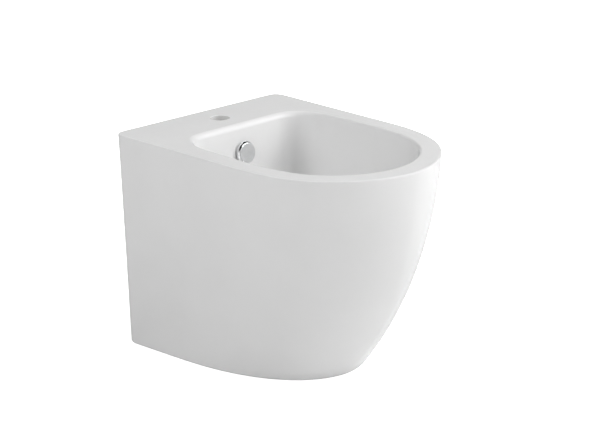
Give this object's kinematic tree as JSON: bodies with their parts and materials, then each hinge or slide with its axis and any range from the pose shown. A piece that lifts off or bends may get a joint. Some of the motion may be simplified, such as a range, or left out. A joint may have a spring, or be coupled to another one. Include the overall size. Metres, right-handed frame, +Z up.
{
  "type": "bidet",
  "caption": "Floor-standing back-to-wall bidet in white glazed china, with a deep D-shaped basin, single tap hole, chrome overflow cap, push-open waste and bottle trap.",
  "frame": {"origin": "on the floor, midway between the sides and midway from the wall to the front of the rim", "axes": "+Y towards the wall, +X to the right of someone facing the wall, +Z up"},
  "size_m": [0.3788, 0.5, 0.38],
  "materials": {
    "glazed_china": "smooth white glaze",
    "chrome": "polished chrome plate",
    "white_plastic": "moulded white polypropylene",
    "rubber": "matt black rubber",
    "clear_rubber": "pale silicone rubber",
    "brass": "turned brass",
    "steel": "zinc-plated steel",
    "nylon": "grey nylon"
  },
  "bodies": {
    "bidet": {"ceramic_body": "glazed_china", "overflow_cap": "chrome", "overflow_sleeve": "white_plastic", "overflow_gasket": "clear_rubber", "waste_body": "chrome", "latch_housing": "white_plastic", "latch_spring": "steel", "waste_top_gasket": "rubber", "waste_lower_gasket": "rubber", "waste_slip_washer": "white_plastic", "waste_back_nut": "brass", "trap_inlet_nut": "white_plastic", "trap_inlet_seal": "rubber", "trap_dip_tube": "white_plastic", "trap_head_nut": "white_plastic", "trap_head_seal": "rubber", "trap_head": "white_plastic", "trap_cup": "white_plastic", "trap_cup_seal": "rubber", "outlet_nut": "white_plastic", "outlet_seal": "rubber", "outlet_pipe": "white_plastic", "floor_brackets": "steel", "bracket_screws": "steel", "bracket_washers": "steel", "bracket_bushes": "nylon"},
    "cover": {"waste_cover": "chrome", "cover_seal": "rubber", "cover_stem": "brass"}
  },
  "joints": [
    {"name": "cover_press", "type": "slide", "parent": "bidet", "child": "cover", "axis": [0, 0, 1], "range_m": [0, 0.008], "deforming": ["latch_spring"]}
  ]
}
